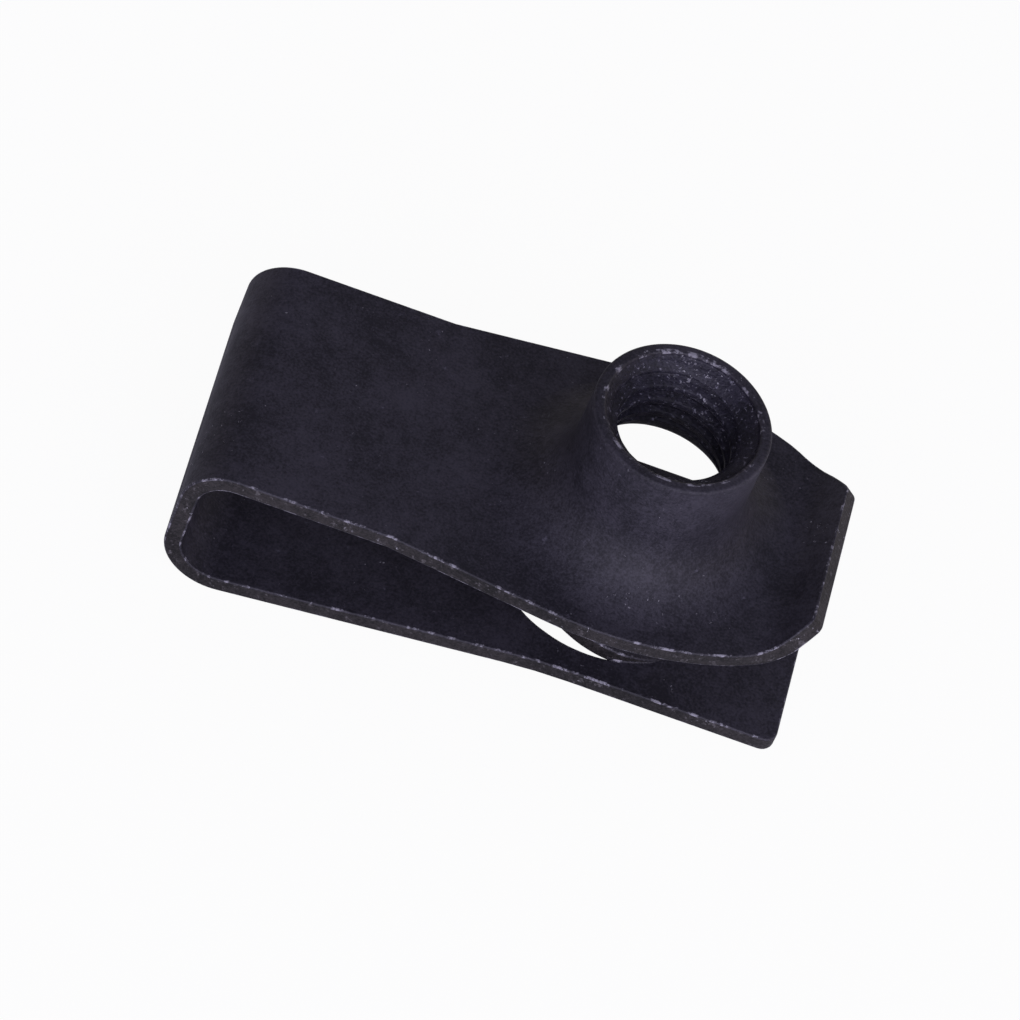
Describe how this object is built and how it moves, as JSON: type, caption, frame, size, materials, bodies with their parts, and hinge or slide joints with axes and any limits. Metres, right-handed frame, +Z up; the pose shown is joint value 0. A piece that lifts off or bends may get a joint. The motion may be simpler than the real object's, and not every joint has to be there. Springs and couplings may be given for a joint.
{
  "type": "u clip speed nut",
  "caption": "U-shaped spring steel clip nut for a panel edge, with a drawn and threaded barrel on one leg and a sprung tongue round the bolt hole in the other.",
  "frame": {"origin": "on the thread's axis, where the bolt enters the plain bore from the funnel under it", "axes": "+Z up along the thread out of the barrel's rim, +X from the fold to the open end, +Y across the strip"},
  "size_m": [0.0355, 0.0186, 0.0179],
  "materials": {
    "phosphated_steel": "satin"
  },
  "bodies": {
    "root": {"speed_nut": "phosphated_steel"}
  },
  "joints": []
}
